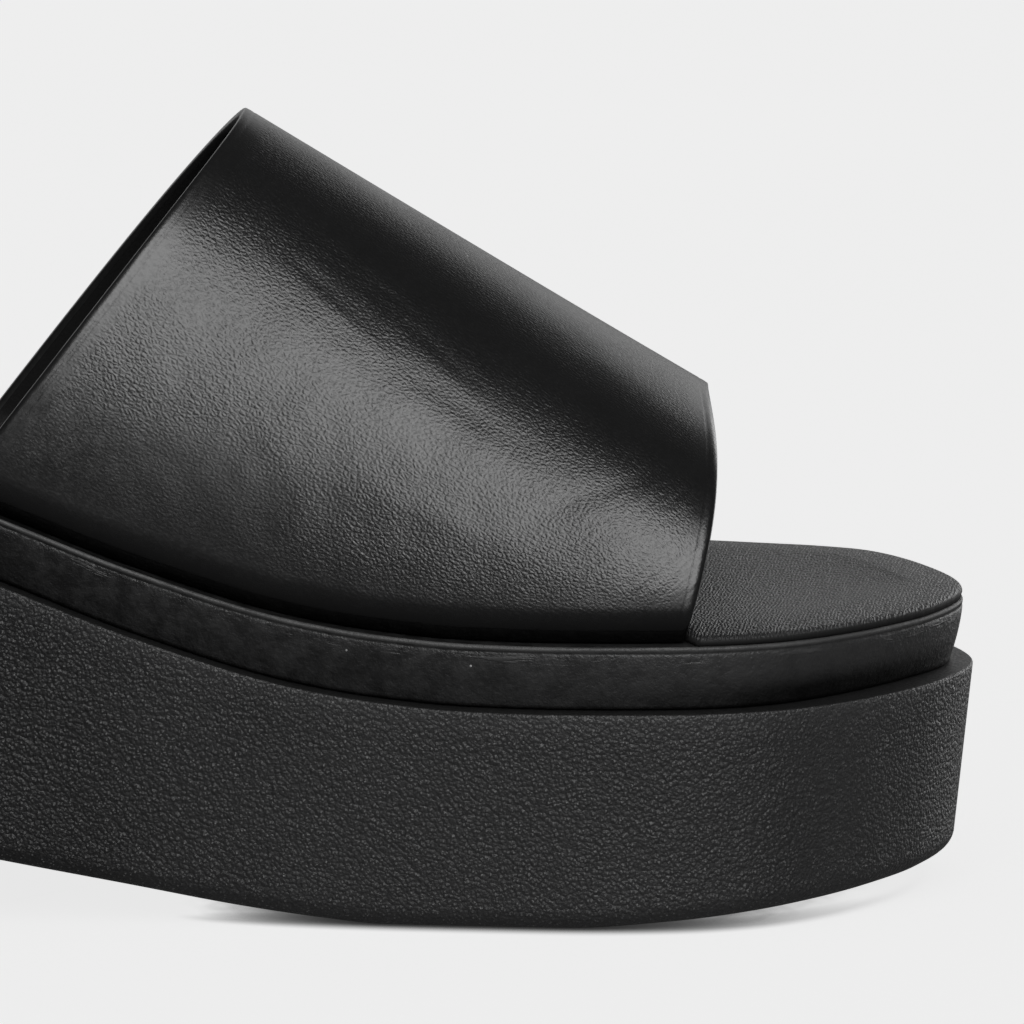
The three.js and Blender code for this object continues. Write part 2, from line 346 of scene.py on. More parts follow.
def strap_point(share, turn, depth, beyond):
    """Points in the wall of the strap, depth in from its outside and beyond past its edge."""
    ahead = strap_outside(np.minimum(1, share + PROBE), turn)
    along = unit(ahead - strap_outside(np.maximum(0, share - PROBE), turn))
    onward = strap_outside(share, np.minimum(math.pi, turn + PROBE))
    over = onward - strap_outside(share, np.maximum(0, turn - PROBE))
    inward = unit(np.cross(over, along))
    point = strap_outside(share, turn) + inward * depth[..., None] + along * beyond[..., None]
    footing = footbed_at(point[..., 0]) + CLEARANCE
    at_foot = (turn < 1e-9) | (turn > math.pi - 1e-9)
    point[..., 2] = np.where(at_foot, footing, point[..., 2])
    low = np.maximum(0, 1 - (point[..., 2] - footing) / TUCK_HEIGHT)
    point[..., 1] += np.where(turn < math.pi / 2, 1, -1) * STRAP_TUCK * low * low
    return point


def shell(name, loops, across=1, dish=None):
    """A closed mesh through loops of equal count.

    Its map, in metres, runs round the loops and down from the last one.
    """
    loops = np.array(loops)
    rows, count = loops.shape[:2]
    steps = np.linalg.norm(np.roll(loops, -1, 1) - loops, axis=2)
    around = np.concatenate([np.zeros((rows, 1)), np.cumsum(steps, 1)], 1)
    lift = np.linalg.norm(np.diff(loops, axis=0), axis=2)
    below = np.concatenate([np.cumsum(lift[::-1], 0)[::-1], np.zeros((1, count))])
    below = np.concatenate([below, below[:, :1]], 1)
    points = [tuple(point) for point in loops.reshape(-1, 3)]
    faces, places = [], []
    for row in range(rows - 1):
        for k in range(count):
            corners = [(row, k), (row, k + 1), (row + 1, k + 1), (row + 1, k)]
            faces.append([r * count + c % count for r, c in corners])
            places.append([(around[r, c], below[r, c]) for r, c in corners])

    def close(loop, first, strips, faces_back):
        lines = []
        for k in range(count // 2 + 1):
            opposite = (count - k) % count
            line = [first + k]
            for step in range(1, strips if opposite != k else 1):
                share = step / strips
                point = loop[k] + (loop[opposite] - loop[k]) * share
                line.append(len(points))
                ease = min(1.0, np.linalg.norm(loop[opposite] - loop[k]) / FULL_DISH)
                points.append((point[0], point[1], point[2] - (ease * dish(share) if dish else 0)))
            if opposite != k:
                line.append(first + opposite)
            lines.append(line)
        for before, after in zip(lines, lines[1:]):
            for step in range(max(len(before), len(after)) - 1):
                corners = ((before, 0), (after, 0), (after, 1), (before, 1))
                face = list(dict.fromkeys(line[min(step + more, len(line) - 1)] for line, more in corners))
                faces.append(face[::-1] if faces_back else face)
                places.append([(points[c][0], points[c][1]) for c in faces[-1]])

    close(loops[0], 0, 1, True)
    close(loops[-1], (rows - 1) * count, across, False)
    mesh = bpy.data.meshes.new(name)
    placed = (np.array(points) + MIDDLE) / 1000
    mesh.from_pydata([tuple(point) for point in placed], [], faces)
    layer = mesh.uv_layers.new(name="surface")
    flat = np.array([place for face in places for place in face]) / 1000
    layer.data.foreach_set("uv", flat.astype(np.float32).ravel())
    mesh.validate()
    mesh.polygons.foreach_set("use_smooth", [True] * len(mesh.polygons))
    obj = bpy.data.objects.new(name, mesh)
    bpy.context.scene.collection.objects.link(obj)
    face_outwards(obj)
    return obj


def face_outwards(obj):
    work = bmesh.new()
    work.from_mesh(obj.data)
    if work.calc_volume(signed=True) < 0:
        bmesh.ops.reverse_faces(work, faces=work.faces)
    work.to_mesh(obj.data)
    work.free()


def note(obj, name, values):
    """Keeps one number per point on the mesh for its material to read."""
    attribute = obj.data.attributes.new(name, "FLOAT", "POINT")
    full = np.zeros(len(obj.data.vertices), np.float32)
    full[:len(values)] = values
    attribute.data.foreach_set("value", full)


def arc(steps):
    return [math.pi / 2 * k / steps for k in range(steps + 1)]


# The pieces

def make_outsole():
    def top_at(x):
        return footbed_at(x) - MIDSOLE - CLEARANCE

    foot = LEDGE - WALL_TAPER
    rest = foot - SOLE_ROUND
    loops = [
        ring(rest - SOLE_RIM - TREAD_SLOPE, lambda x: underside_at(x) + TREAD),
        ring(rest - SOLE_RIM, underside_at),
    ]
    loops += [
        ring(
            foot - SOLE_ROUND * (1 - math.sin(turn)),
            lambda x, turn=turn: underside_at(x) + SOLE_ROUND * (1 - math.cos(turn)),
        )
        for turn in arc(8)
    ]
    low = loops[-1]
    edge = ring(LEDGE, lambda x: top_at(x) - LEDGE_ROUND)
    loops += [low + (edge - low) * share for share in (0.15, 0.3, 0.45, 0.6, 0.75, 0.9, 0.975)]
    loops += [
        ring(
            LEDGE - LEDGE_ROUND * (1 - math.cos(turn)),
            lambda x, turn=turn: top_at(x) - LEDGE_ROUND * (1 - math.sin(turn)),
        )
        for turn in arc(4)
    ]
    loops += [ring(LEDGE - FLAT_RIM, top_at), ring(-MIDSOLE_UNDERCUT - FLAT_RIM, top_at)]
    return shell("outsole_body", loops)


def tread_tree(material):
    """Ribs in staggered rows over the part of a body's underside that faces the floor."""
    tree = bpy.data.node_groups.new("tread", "GeometryNodeTree")
    ports = tree.interface
    ports.new_socket("Body", in_out="INPUT", socket_type="NodeSocketGeometry")
    sockets = {}
    for name, value in TREAD_SIZES.items():
        sockets[name] = ports.new_socket(name, in_out="INPUT", socket_type="NodeSocketFloat").identifier
    ports.new_socket("Ribs", in_out="OUTPUT", socket_type="NodeSocketGeometry")
    given = tree.nodes.new("NodeGroupInput").outputs

    def node(kind, inputs=None, **settings):
        made = tree.nodes.new(kind)
        for key, value in settings.items():
            setattr(made, key, value)
        for key, value in (inputs or {}).items():
            if isinstance(value, bpy.types.NodeSocket):
                tree.links.new(value, made.inputs[key])
            else:
                made.inputs[key].default_value = value
        return made

    def math_node(operation, a, b):
        return node("ShaderNodeMath", {0: a, 1: b}, operation=operation).outputs[0]

    def vector_node(x=0.0, y=0.0, z=0.0):
        return node("ShaderNodeCombineXYZ", {"X": x, "Y": y, "Z": z}).outputs[0]

    def parts_of(vector):
        return node("ShaderNodeSeparateXYZ", {0: vector}).outputs

    across = math_node("ADD", math_node("DIVIDE", given["Field width"], given["Spacing across"]), 1.0)
    along = math_node("ADD", math_node("DIVIDE", given["Field length"], given["Spacing along"]), 1.0)
    grid = node("GeometryNodeMeshGrid", {
        "Size X": given["Field length"],
        "Size Y": given["Field width"],
        "Vertices X": along,
        "Vertices Y": across,
    })
    number = node("GeometryNodeInputIndex").outputs[0]
    row = math_node("FLOOR", math_node("DIVIDE", number, math_node("FLOOR", across, 0.0)), 0.0)
    odd = math_node("MODULO", row, 2.0)
    shift = math_node("MULTIPLY", odd, math_node("MULTIPLY", given["Spacing across"], 0.5))
    rows = node("GeometryNodeSetPosition", {"Geometry": grid.outputs["Mesh"], "Offset": vector_node(y=shift)})
    turn = math_node("MULTIPLY", math_node("SUBTRACT", odd, 0.5), given["Turn"])
    turned = node(
        "GeometryNodeStoreNamedAttribute",
        {"Geometry": rows.outputs[0], "Name": "turn", "Value": turn},
        data_type="FLOAT",
        domain="POINT",
    )
    place = parts_of(node("GeometryNodeInputPosition").outputs[0])
    hit = node("GeometryNodeRaycast", {
        "Target Geometry": given["Body"],
        "Source Position": vector_node(place["X"], place["Y"], RAY_START),
        "Ray Direction": (0.0, 0.0, 1.0),
        "Ray Length": RAY_LENGTH,
    })
    downward = parts_of(hit.outputs["Hit Normal"])["Z"]
    missed = node("FunctionNodeBooleanMath", {0: hit.outputs["Is Hit"]}, operation="NOT")
    steep = node(
        "FunctionNodeCompare",
        {"A": downward, "B": FLAT_UNDERSIDE},
        data_type="FLOAT",
        operation="GREATER_THAN",
    )
    unfit = node("FunctionNodeBooleanMath", {0: missed.outputs[0], 1: steep.outputs[0]}, operation="OR")
    inside = node(
        "GeometryNodeDeleteGeometry",
        {"Geometry": turned.outputs[0], "Selection": unfit.outputs[0]},
        domain="POINT",
    )
    seated = node("GeometryNodeSetPosition", {
        "Geometry": inside.outputs[0],
        "Position": hit.outputs["Hit Position"],
    })
    tilt = node("FunctionNodeAlignRotationToVector", {"Vector": hit.outputs["Hit Normal"]}, axis="Z")
    kept_turn = node("GeometryNodeInputNamedAttribute", {"Name": "turn"}, data_type="FLOAT")
    swivel = node("FunctionNodeAxisAngleToRotation", {
        "Axis": (0.0, 0.0, 1.0),
        "Angle": kept_turn.outputs["Attribute"],
    })
    facing = node(
        "FunctionNodeRotateRotation",
        {0: tilt.outputs[0], 1: swivel.outputs[0]},
        rotation_space="LOCAL",
    )
    size = vector_node(given["Rib width"], given["Rib length"], given["Rib height"])
    rib = node("GeometryNodeMeshCube", {"Size": size})
    ribs = node("GeometryNodeInstanceOnPoints", {
        "Points": seated.outputs[0],
        "Instance": rib.outputs["Mesh"],
        "Rotation": facing.outputs[0],
    })
    solid = node("GeometryNodeRealizeInstances", {"Geometry": ribs.outputs[0]})
    coloured = node("GeometryNodeSetMaterial", {"Geometry": solid.outputs[0], "Material": material})
    result = tree.nodes.new("NodeGroupOutput")
    tree.links.new(coloured.outputs[0], result.inputs[0])
    return tree, sockets


def make_tread(material):
    """The fine tread, laid out by Geometry Nodes and then turned into a plain mesh."""
    half_rib = TREAD_SIZES["Rib length"] * 1000 / 2
    inset = LEDGE - WALL_TAPER - SOLE_ROUND - SOLE_RIM - TREAD_SLOPE - half_rib
    obj = shell("outsole_tread", [
        ring(inset, lambda x: underside_at(x) + TREAD),
        ring(inset - TREAD_BODY, lambda x: underside_at(x) + TREAD + TREAD_BODY),
    ])
    tree, sockets = tread_tree(material)
    modifier = obj.modifiers.new("tread", "NODES")
    modifier.node_group = tree
    for name, value in TREAD_SIZES.items():
        modifier[sockets[name]] = value
    ready = obj.evaluated_get(bpy.context.evaluated_depsgraph_get())
    plain = bpy.data.meshes.new_from_object(ready)
    obj.modifiers.clear()
    obj.data = plain
    plain.polygons.foreach_set("material_index", [0] * len(plain.polygons))
    return obj


def make_midsole():
    outer_toe = np.interp(OUTLINE[:, 0] / LENGTH, TOE_UNDERCUT, (0, 1, 1, 0)) * (OUTLINE[:, 1] < 0)
    undercut = MIDSOLE_UNDERCUT * (1 + TOE_DEEPER * outer_toe)
    loops = [ring(-MIDSOLE_UNDERCUT - 2 * FLAT_RIM, lambda x: footbed_at(x) - MIDSOLE)]
    for share in (0.0, 0.06, 0.12, 0.2, 0.3, 0.42, 0.54, 0.66, 0.78, 0.88):
        rise = share * (MIDSOLE - MIDSOLE_EDGE) - MIDSOLE
        loops.append(ring(-undercut * (1 - share) ** HOLLOW_CURVE, lambda x, rise=rise: footbed_at(x) + rise))
    for below, depth in RIM_GROOVE:
        loops.append(ring(-depth, lambda x, below=below: footbed_at(x) - below))
    loops += [
        ring(
            -MIDSOLE_EDGE * (1 - math.cos(turn)),
            lambda x, turn=turn: footbed_at(x) - MIDSOLE_EDGE * (1 - math.sin(turn)),
        )
        for turn in arc(4)
    ]
    loops += [ring(-MIDSOLE_EDGE - FLAT_RIM, footbed_at), ring(-3 * FLAT_RIM, footbed_at)]
    return shell("midsole_body", loops)


def strap_notch():
    """How far the edge of the footbed cover gives way to the feet of the strap."""
    gap = STRAP_WALL + CLEARANCE + STRAP_INSET - INSOLE_INSET + STRAP_TUCK
    outer = np.arange(len(OUTLINE)) <= HALF
    x = OUTLINE[:, 0]
    notch = np.zeros(len(OUTLINE))
    for foot, mine in (("outer", outer), ("inner", ~outer)):
        low = STRAP_BACK[foot] * LENGTH - NOTCH_MARGIN
        high = STRAP_FRONT[foot] * LENGTH + NOTCH_MARGIN
        begun = np.clip((x - low) / NOTCH_EASE + 1, 0, 1)
        ended = np.clip((high - x) / NOTCH_EASE + 1, 0, 1)
        notch = np.where(mine, begun * ended * gap, notch)
    return notch


def make_insole():
    rim = -INSOLE_INSET - strap_notch()

    def lifted(inset, height):
        loop = ring(rim - inset, lambda x: footbed_at(x) + height)
        loop[:, 2] += INNER_LIFT * (0.5 + loop[:, 1] / BALL_WIDTH)
        return loop

    loops = [ring(rim - INSOLE_ROUND / 4, lambda x: footbed_at(x) + GLUE_LINE)]
    loops += [
        lifted(INSOLE_ROUND * (1 - math.cos(turn)), INSOLE - INSOLE_ROUND * (1 - math.sin(turn)))
        for turn in arc(8)
    ]
    loops += [
        lifted(INSOLE_ROUND + EDGE_SLOPE * share, INSOLE + EDGE_RISE * (1 - (1 - share) ** 2))
        for share in (0.12, 0.28, 0.45, 0.65, 0.85, 1.0)
    ]
    return shell("insole_body", loops, STRIPS_OVER_INSOLE, lambda share: DISH * math.sin(math.pi * share))


def strap_relief(along, over):
    """Height of the creases at a place on the strap, in millimetres."""
    height = np.zeros_like(along)
    for row in CREASES[1:]:
        place, up, length, width, direction, rise = row
        turn = math.radians(direction)
        lengthwise = (along - place) * math.cos(turn) + (over - up) * math.sin(turn)
        across = (over - up) * math.cos(turn) - (along - place) * math.sin(turn)
        across += CREASE_BEND * lengthwise ** 2 / width
        height += rise * np.exp(-(lengthwise / (length / 2)) ** 2 - (across / (width / 2)) ** 2)
    return height


def make_strap():
    turns = np.linspace(0, math.pi, STEPS_OVER_STRAP + 1)
    ends = np.array([0.0, 0.25, 0.5, 0.75, 1.0, 1.2, 1.4, 1.6, 1.8, 2.1, 2.5, 3.0])
    middle = strap_outside(np.full_like(turns, 0.5), turns)
    over = np.concatenate([[0.0], np.cumsum(np.linalg.norm(np.diff(middle, axis=0), axis=1))])
    groove_at, groove_depth, groove_width = EDGE_GROOVE
    bend = [math.pi * k / 10 for k in range(1, 10)]
    radius = STRAP_WALL / 2
    rolled = [(radius * (1 - math.cos(b)), radius * math.sin(b) ** ROLL_SQUARE) for b in bend]
    loops, from_edge = [], []
    for turn, height in zip(turns, over):
        fine = np.linspace(0, 1, 60)
        line = strap_outside(fine, np.full_like(fine, turn))
        length = np.linalg.norm(np.diff(line, axis=0), axis=1).sum()
        even = np.linspace(ends[-1], length - ends[-1], STEPS_ALONG_STRAP)[1:-1]
        reach = np.concatenate([ends, even, (length - ends)[::-1]])
        share = reach / length
        nearest = np.minimum(reach, length - reach)
        groove = groove_depth * np.exp(-((nearest - groove_at) / groove_width) ** 2)
        fade = np.clip((nearest - CREASE_START) / (CREASE_FULL - CREASE_START), 0, 1)
        rise = strap_relief(reach, np.full_like(reach, height)) * fade
        outside = [(s, turn, d, 0.0, e) for s, d, e in zip(share, groove - rise, nearest)]
        inside = [(s, turn, STRAP_WALL, 0.0, -1.0) for s in share[::-1]]
        front = [(1.0, turn, d, b, 0.0) for d, b in rolled]
        back = [(0.0, turn, d, -b, 0.0) for d, b in rolled][::-1]
        half = len(back) // 2
        section = np.array(back[half:] + outside + front + inside + back[:half])
        loops.append(strap_point(section[:, 0], section[:, 1], section[:, 2], section[:, 3]))
        from_edge.append(section[:, 4])
    obj = shell("strap", loops)
    note(obj, "from_edge", np.concatenate(from_edge) / 1000)
    points = np.concatenate(loops)
    note(obj, "from_foot", (points[:, 2] - footbed_at(points[:, 0])) / 1000)
    return obj


# Their finishes

class Finish:
    """A material and short ways to add to its nodes."""

    def __init__(self, name, **shader):
        self.material = bpy.data.materials.new(name)
        self.material.use_nodes = True
        self.tree = self.material.node_tree
        self.shader = self.tree.nodes["Principled BSDF"]
        for socket, value in shader.items():
            self.shader.inputs[socket.replace("_", " ")].default_value = value

    def set(self, socket, value):
        if isinstance(value, bpy.types.NodeSocket):
            self.tree.links.new(value, socket)
        else:
            socket.default_value = value

    def node(self, kind, inputs=None, **settings):
        made = self.tree.nodes.new("ShaderNode" + kind)
        for key, value in settings.items():
            setattr(made, key, value)
        for key, value in (inputs or {}).items():
            self.set(made.inputs[key], value)
        return made

    def math(self, operation, *values):
        return self.node("Math", dict(enumerate(values)), operation=operation).outputs[0]

    def product(self, *factors):
        total = factors[0]
        for factor in factors[1:]:
            total = self.math("MULTIPLY", total, factor)
        return total

    def sum(self, *terms):
        total = terms[0]
        for term in terms[1:]:
            total = self.math("ADD", total, term)
        return total

    def ramp(self, value, low, high, to_low=0.0, to_high=1.0):
        inputs = {"Value": value, "From Min": low, "From Max": high, "To Min": to_low, "To Max": to_high}
        return self.node("MapRange", inputs, interpolation_type="SMOOTHSTEP").outputs[0]

    def place(self, source, scale=(1, 1, 1), turn=0.0, shift=(0, 0, 0)):
        rotation = (0, 0, math.radians(turn))
        inputs = {"Vector": source, "Scale": scale, "Rotation": rotation, "Location": shift}
        return self.node("Mapping", inputs).outputs[0]

    def noise(self, vector, scale, detail=2.0, roughness=0.5):
        inputs = {"Vector": vector, "Scale": scale, "Detail": detail, "Roughness": roughness}
        return self.node("TexNoise", inputs).outputs["Fac"]

    def cells(self, vector, scale):
        """Distance to the nearest of many scattered points."""
        return self.node("TexVoronoi", {"Vector": vector, "Scale": scale}).outputs["Distance"]

    def furrows(self, vector, scale):
        """Distance to the nearest line of a net of irregular cells."""
        settings = {"voronoi_dimensions": "2D", "feature": "DISTANCE_TO_EDGE"}
        return self.node("TexVoronoi", {"Vector": vector, "Scale": scale}, **settings).outputs["Distance"]

    def attribute(self, name):
        return self.node("Attribute", attribute_name=name).outputs["Fac"]

    def solid(self):
        return self.node("TexCoord").outputs["Object"]

    def surface(self):
        return self.node("UVMap", uv_map="surface").outputs[0]

    def part(self, vector, axis):
        return self.node("SeparateXYZ", {0: vector}).outputs[axis]

    def facing(self):
        """How far the surface faces up: 1 on top, -1 underneath."""
        return self.part(self.node("NewGeometry").outputs["Normal"], "Z")

    def colour(self, factor, dark, light):
        return self.over(factor, (*dark, 1.0), light)

    def over(self, factor, under, light):
        """A second colour laid over the first one by factor."""
        made = self.node("Mix", {"Factor": factor}, data_type="RGBA")
        self.set(made.inputs[6], under)
        self.set(made.inputs[7], (*light, 1.0))
        return made.outputs[2]

    def bump(self, height, distance, strength=1.0, under=None):
        inputs = {"Height": height, "Distance": distance, "Strength": strength}
        if under is not None:
            inputs["Normal"] = under
        return self.node("Bump", inputs).outputs[0]

    def finish(self, colour=None, roughness=None, normal=None):
        for socket, value in (("Base Color", colour), ("Roughness", roughness), ("Normal", normal)):
            if value is not None:
                self.tree.links.new(value, self.shader.inputs[socket])
        return self.material


def dust(finish, coordinates, scale, size, seed):
    """Scattered specks of pale dust, as a mask."""
    spots = finish.cells(finish.place(coordinates, shift=(seed, seed * 0.7, seed * 0.3)), scale)
    chosen = finish.noise(coordinates, scale * 0.35, 1.0)
    return finish.product(finish.ramp(spots, size, size * 0.45), finish.ramp(chosen, 0.52, 0.6))


def strap_leather():
    finish = Finish("strap_leather", Specular_IOR_Level=0.5)
    solid = finish.solid()
    surface = finish.surface()
    from_edge = finish.attribute("from_edge")
    from_foot = finish.attribute("from_foot")
    slow = finish.noise(solid, 55.0, 2.0)

    # Grain, quiet at the edges, at the feet and low down at the back
    flow = finish.place(surface, (0.8, 1.1, 1.0), 8.0)
    long_grain = finish.noise(finish.place(flow, (0.85, 1.15, 1.0)), 1400.0, 2.0, 0.55)
    grain = finish.sum(
        finish.product(finish.ramp(finish.furrows(flow, 1450.0), 0.0, 0.45), 0.45),
        finish.product(long_grain, 1.4),
        finish.product(finish.noise(surface, 2100.0, 2.0, 0.6), 0.2),
    )
    calm = finish.product(
        finish.ramp(finish.part(solid, "X"), 0.045, 0.005),
        finish.ramp(from_foot, 0.032, 0.016),
    )
    strength = finish.product(
        finish.ramp(slow, 0.3, 0.7, 0.6, 1.0),
        finish.ramp(from_edge, 0.0012, 0.004, 0.25, 1.0),
        finish.ramp(from_foot, 0.003, 0.012, 0.3, 1.0),
        finish.ramp(calm, 0.0, 1.0, 1.0, 0.4),
    )

    # Pulled lines low down by the edges
    pulled = finish.noise(finish.place(surface, (1.5, 0.4, 1.0), 6.0), 420.0, 2.0, 0.5)
    low_down = finish.product(
        finish.ramp(from_foot, 0.034, 0.02),
        finish.ramp(from_foot, 0.004, 0.012),
        finish.ramp(from_edge, 0.03, 0.006),
    )
    height = finish.sum(finish.product(grain, strength), finish.product(pulled, low_down, 1.8))
    swell = finish.bump(finish.noise(solid, 110.0, 1.0), 0.0008, 0.2)
    normal = finish.bump(height, 0.000058, 1.0, swell)
    rough = finish.sum(
        finish.ramp(long_grain, 0.35, 0.55, 0.06, 0.0),
        finish.ramp(slow, 0.3, 0.7, 0.28, 0.31),
        finish.ramp(from_foot, 0.007, 0.0015, 0.0, -0.12),
    )
    tone = finish.colour(finish.noise(solid, 400.0, 2.0), (0.0025, 0.0025, 0.0026), (0.0045, 0.0045, 0.0046))
    # Painted shade: the leather goes nearly black within a few millimetres of the feet, where the strap tucks
    # under
    tone = finish.over(finish.ramp(from_foot, 0.005, 0.001), tone, (0.0005, 0.0005, 0.0005))
    colour = finish.over(dust(finish, solid, 70.0, 0.022, 3.1), tone, (0.32, 0.32, 0.32))
    return finish.finish(colour, rough, normal)


def strap_lining():
    finish = Finish("strap_lining", Specular_IOR_Level=0.2)
    solid = finish.solid()
    grain = finish.noise(solid, 2200.0, 3.0, 0.6)
    tone = finish.colour(finish.noise(solid, 120.0, 3.0), (0.0015, 0.0015, 0.0015), (0.004, 0.004, 0.004))
    return finish.finish(tone, finish.ramp(grain, 0.3, 0.7, 0.55, 0.7), finish.bump(grain, 0.0001, 0.6))


def sole_rubber():
    finish = Finish("pebbled_rubber", Specular_IOR_Level=0.5)
    solid = finish.solid()
    surface = finish.surface()
    side = finish.ramp(finish.math("ABSOLUTE", finish.facing()), 0.95, 0.8)
    clumps = finish.noise(solid, 1350.0, 2.0, 0.55)
    beads = finish.cells(solid, 1700.0)
    sand = finish.noise(solid, 2600.0, 2.0, 0.6)
    grain = finish.sum(
        finish.product(clumps, 0.9),
        finish.product(beads, -0.7),
        finish.product(sand, 0.35),
    )
    height = finish.product(grain, finish.ramp(side, 0.0, 1.0, 0.12, 1.0))
    normal = finish.bump(height, 0.00028, 1.0)
    # Random patches, lighter towards the top of the wall, and painted shade: darker towards the back, where
    # less light falls
    patches_and_painted_falloff = finish.sum(
        finish.product(finish.noise(solid, 45.0, 3.0), 0.6),
        finish.product(clumps, 0.5),
        finish.ramp(finish.part(surface, "Y"), 0.0095, 0.0042, 0.0, 0.45),
        finish.ramp(finish.part(solid, "X"), -0.03, 0.035, -0.6, 0.0),
    )
    glints = finish.product(finish.ramp(beads, 0.34, 0.12), finish.ramp(sand, 0.42, 0.62))
    tone = finish.colour(patches_and_painted_falloff, (0.004, 0.004, 0.0042), (0.015, 0.015, 0.0153))
    tone = finish.over(glints, tone, (0.06, 0.06, 0.06))
    # Painted shade: faces that look straight up or down, the ledge in the corner under the midsole and the
    # underside, are made nearly black
    tone = finish.over(finish.ramp(side, 1.0, 0.0, 0.0, 0.75), tone, (0.0008, 0.0008, 0.0008))
    colour = finish.over(dust(finish, solid, 110.0, 0.03, 1.7), tone, (0.2, 0.2, 0.2))
    rough = finish.ramp(sand, 0.35, 0.65, 0.6, 0.42)
    return finish.finish(colour, rough, normal)


def tread_rubber():
    finish = Finish("tread_rubber", Specular_IOR_Level=0.4)
    solid = finish.solid()
    sand = finish.noise(solid, 1800.0, 2.0, 0.6)
    tone = finish.colour(finish.noise(solid, 45.0, 3.0), (0.006, 0.006, 0.0062), (0.012, 0.012, 0.0122))
    return finish.finish(tone, finish.ramp(sand, 0.35, 0.65, 0.68, 0.52), finish.bump(sand, 0.0001, 0.8))


def midsole_rubber():
    finish = Finish("smooth_midsole", Specular_IOR_Level=0.45)
    solid = finish.solid()
    surface = finish.surface()
    down = finish.part(surface, "Y")
    forward = finish.part(solid, "X")
    blotch = finish.noise(solid, 330.0, 4.0, 0.65)
    fine = finish.noise(solid, 1500.0, 3.0, 0.6)
    streaks = finish.noise(finish.place(surface, (0.3, 2.4, 1.0)), 420.0, 3.0, 0.65)
    rubbed = finish.noise(finish.place(surface, (0.4, 1.0, 1.0)), 150.0, 3.0, 0.6)

    # Scuffs on its rim, partly a painted highlight where the rim catches light, and short pale streaks just
    # below
    rim = finish.product(
        finish.ramp(down, 0.0023, 0.0027),
        finish.ramp(down, 0.0038, 0.0032),
        finish.ramp(rubbed, 0.35, 0.6, 0.45, 1.0),
    )
    below = finish.product(
        finish.ramp(down, 0.0038, 0.0042),
        finish.ramp(down, 0.0062, 0.0044),
        finish.ramp(streaks, 0.5, 0.62),
        finish.ramp(rubbed, 0.45, 0.6),
        0.4,
    )
    scuffs_and_rim_highlight = finish.math("MAXIMUM", rim, below)
    # Random blotches, plus painted light: lighter towards the toe and darker towards the back, following how
    # the light falls
    blotches_and_painted_falloff = finish.sum(
        finish.ramp(blotch, 0.3, 0.7, 0.1, 0.7),
        finish.ramp(forward, 0.03, 0.1, 0.0, 0.7),
        finish.ramp(forward, -0.03, 0.02, -0.5, 0.0),
    )
    tone = finish.colour(blotches_and_painted_falloff, (0.003, 0.003, 0.0031), (0.0145, 0.0145, 0.0147))
    # Painted shade low on the wall at the toe, in the deep undercut
    painted_undercut_shade = finish.product(finish.ramp(down, 0.007, 0.011), finish.ramp(forward, 0.06, 0.1))
    tone = finish.over(painted_undercut_shade, tone, (0.0006, 0.0006, 0.0006))
    tone = finish.over(scuffs_and_rim_highlight, tone, (0.048, 0.048, 0.048))
    colour = finish.over(dust(finish, solid, 190.0, 0.04, 5.3), tone, (0.26, 0.26, 0.26))
    rough = finish.sum(finish.ramp(blotch, 0.3, 0.7, 0.4, 0.52), finish.product(scuffs_and_rim_highlight, 0.12))
    height = finish.sum(
        finish.product(fine, 0.6),
        finish.product(scuffs_and_rim_highlight, 1.2),
        finish.product(rubbed, 0.5),
        blotch,
    )
    return finish.finish(colour, rough, finish.bump(height, 0.00026, 1.0))


def insole_leather():
    finish = Finish("insole_leather", Specular_IOR_Level=0.4)
    solid = finish.solid()
    top = finish.ramp(finish.facing(), 0.2, 0.65)
    rim = finish.ramp(top, 1.0, 0.0)
    waves = finish.node("TexWave", {
        "Vector": finish.place(solid, turn=8.0),
        "Scale": 560.0,
        "Distortion": 7.0,
        "Detail": 2.0,
        "Detail Scale": 1.3,
        "Detail Roughness": 0.6,
    }, wave_type="BANDS").outputs["Fac"]
    wrinkles = finish.noise(finish.place(solid, (1.0, 0.3, 0.3)), 900.0, 2.0)
    grain = finish.sum(finish.product(waves, 0.55), finish.product(finish.cells(solid, 1300.0), -0.7))
    height = finish.sum(
        finish.product(grain, top),
        finish.product(wrinkles, finish.ramp(top, 0.0, 1.0, 0.5, 0.0)),
    )
    tone = finish.colour(finish.noise(solid, 90.0, 3.0), (0.0085, 0.0085, 0.0088), (0.021, 0.021, 0.0214))
    # Painted shade: the rolled edge, which faces sideways, is made darker than the top
    tone = finish.over(rim, tone, (0.0022, 0.0022, 0.0022))
    colour = finish.over(dust(finish, solid, 110.0, 0.03, 2.2), tone, (0.3, 0.3, 0.3))
    rough = finish.sum(finish.ramp(grain, -0.4, 0.4, 0.5, 0.42), finish.product(rim, 0.25))
    return finish.finish(colour, rough, finish.bump(height, 0.00034, 0.9))


def dress(obj, material, node):
    obj.data.materials.clear()
    obj.data.materials.append(material)
    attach(obj, "root")
    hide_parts(node)


def line_strap(obj, lining):
    """Gives the lining to the inside of the strap, where from_edge is below zero."""
    obj.data.materials.append(lining)
    edge = np.zeros(len(obj.data.vertices), np.float32)
    obj.data.attributes["from_edge"].data.foreach_get("value", edge)
    for face in obj.data.polygons:
        if all(edge[corner] < 0 for corner in face.vertices):
            face.material_index = 1


outsole, midsole, insole, strap = make_outsole(), make_midsole(), make_insole(), make_strap()
tread_finish = tread_rubber()
tread = make_tread(tread_finish)
dress(outsole, sole_rubber(), "outsole")
dress(tread, tread_finish, "outsole")
dress(midsole, midsole_rubber(), "midsole")
dress(insole, insole_leather(), "insole")
dress(strap, strap_leather(), "upper")
line_strap(strap, strap_lining())


# Floor, light and camera

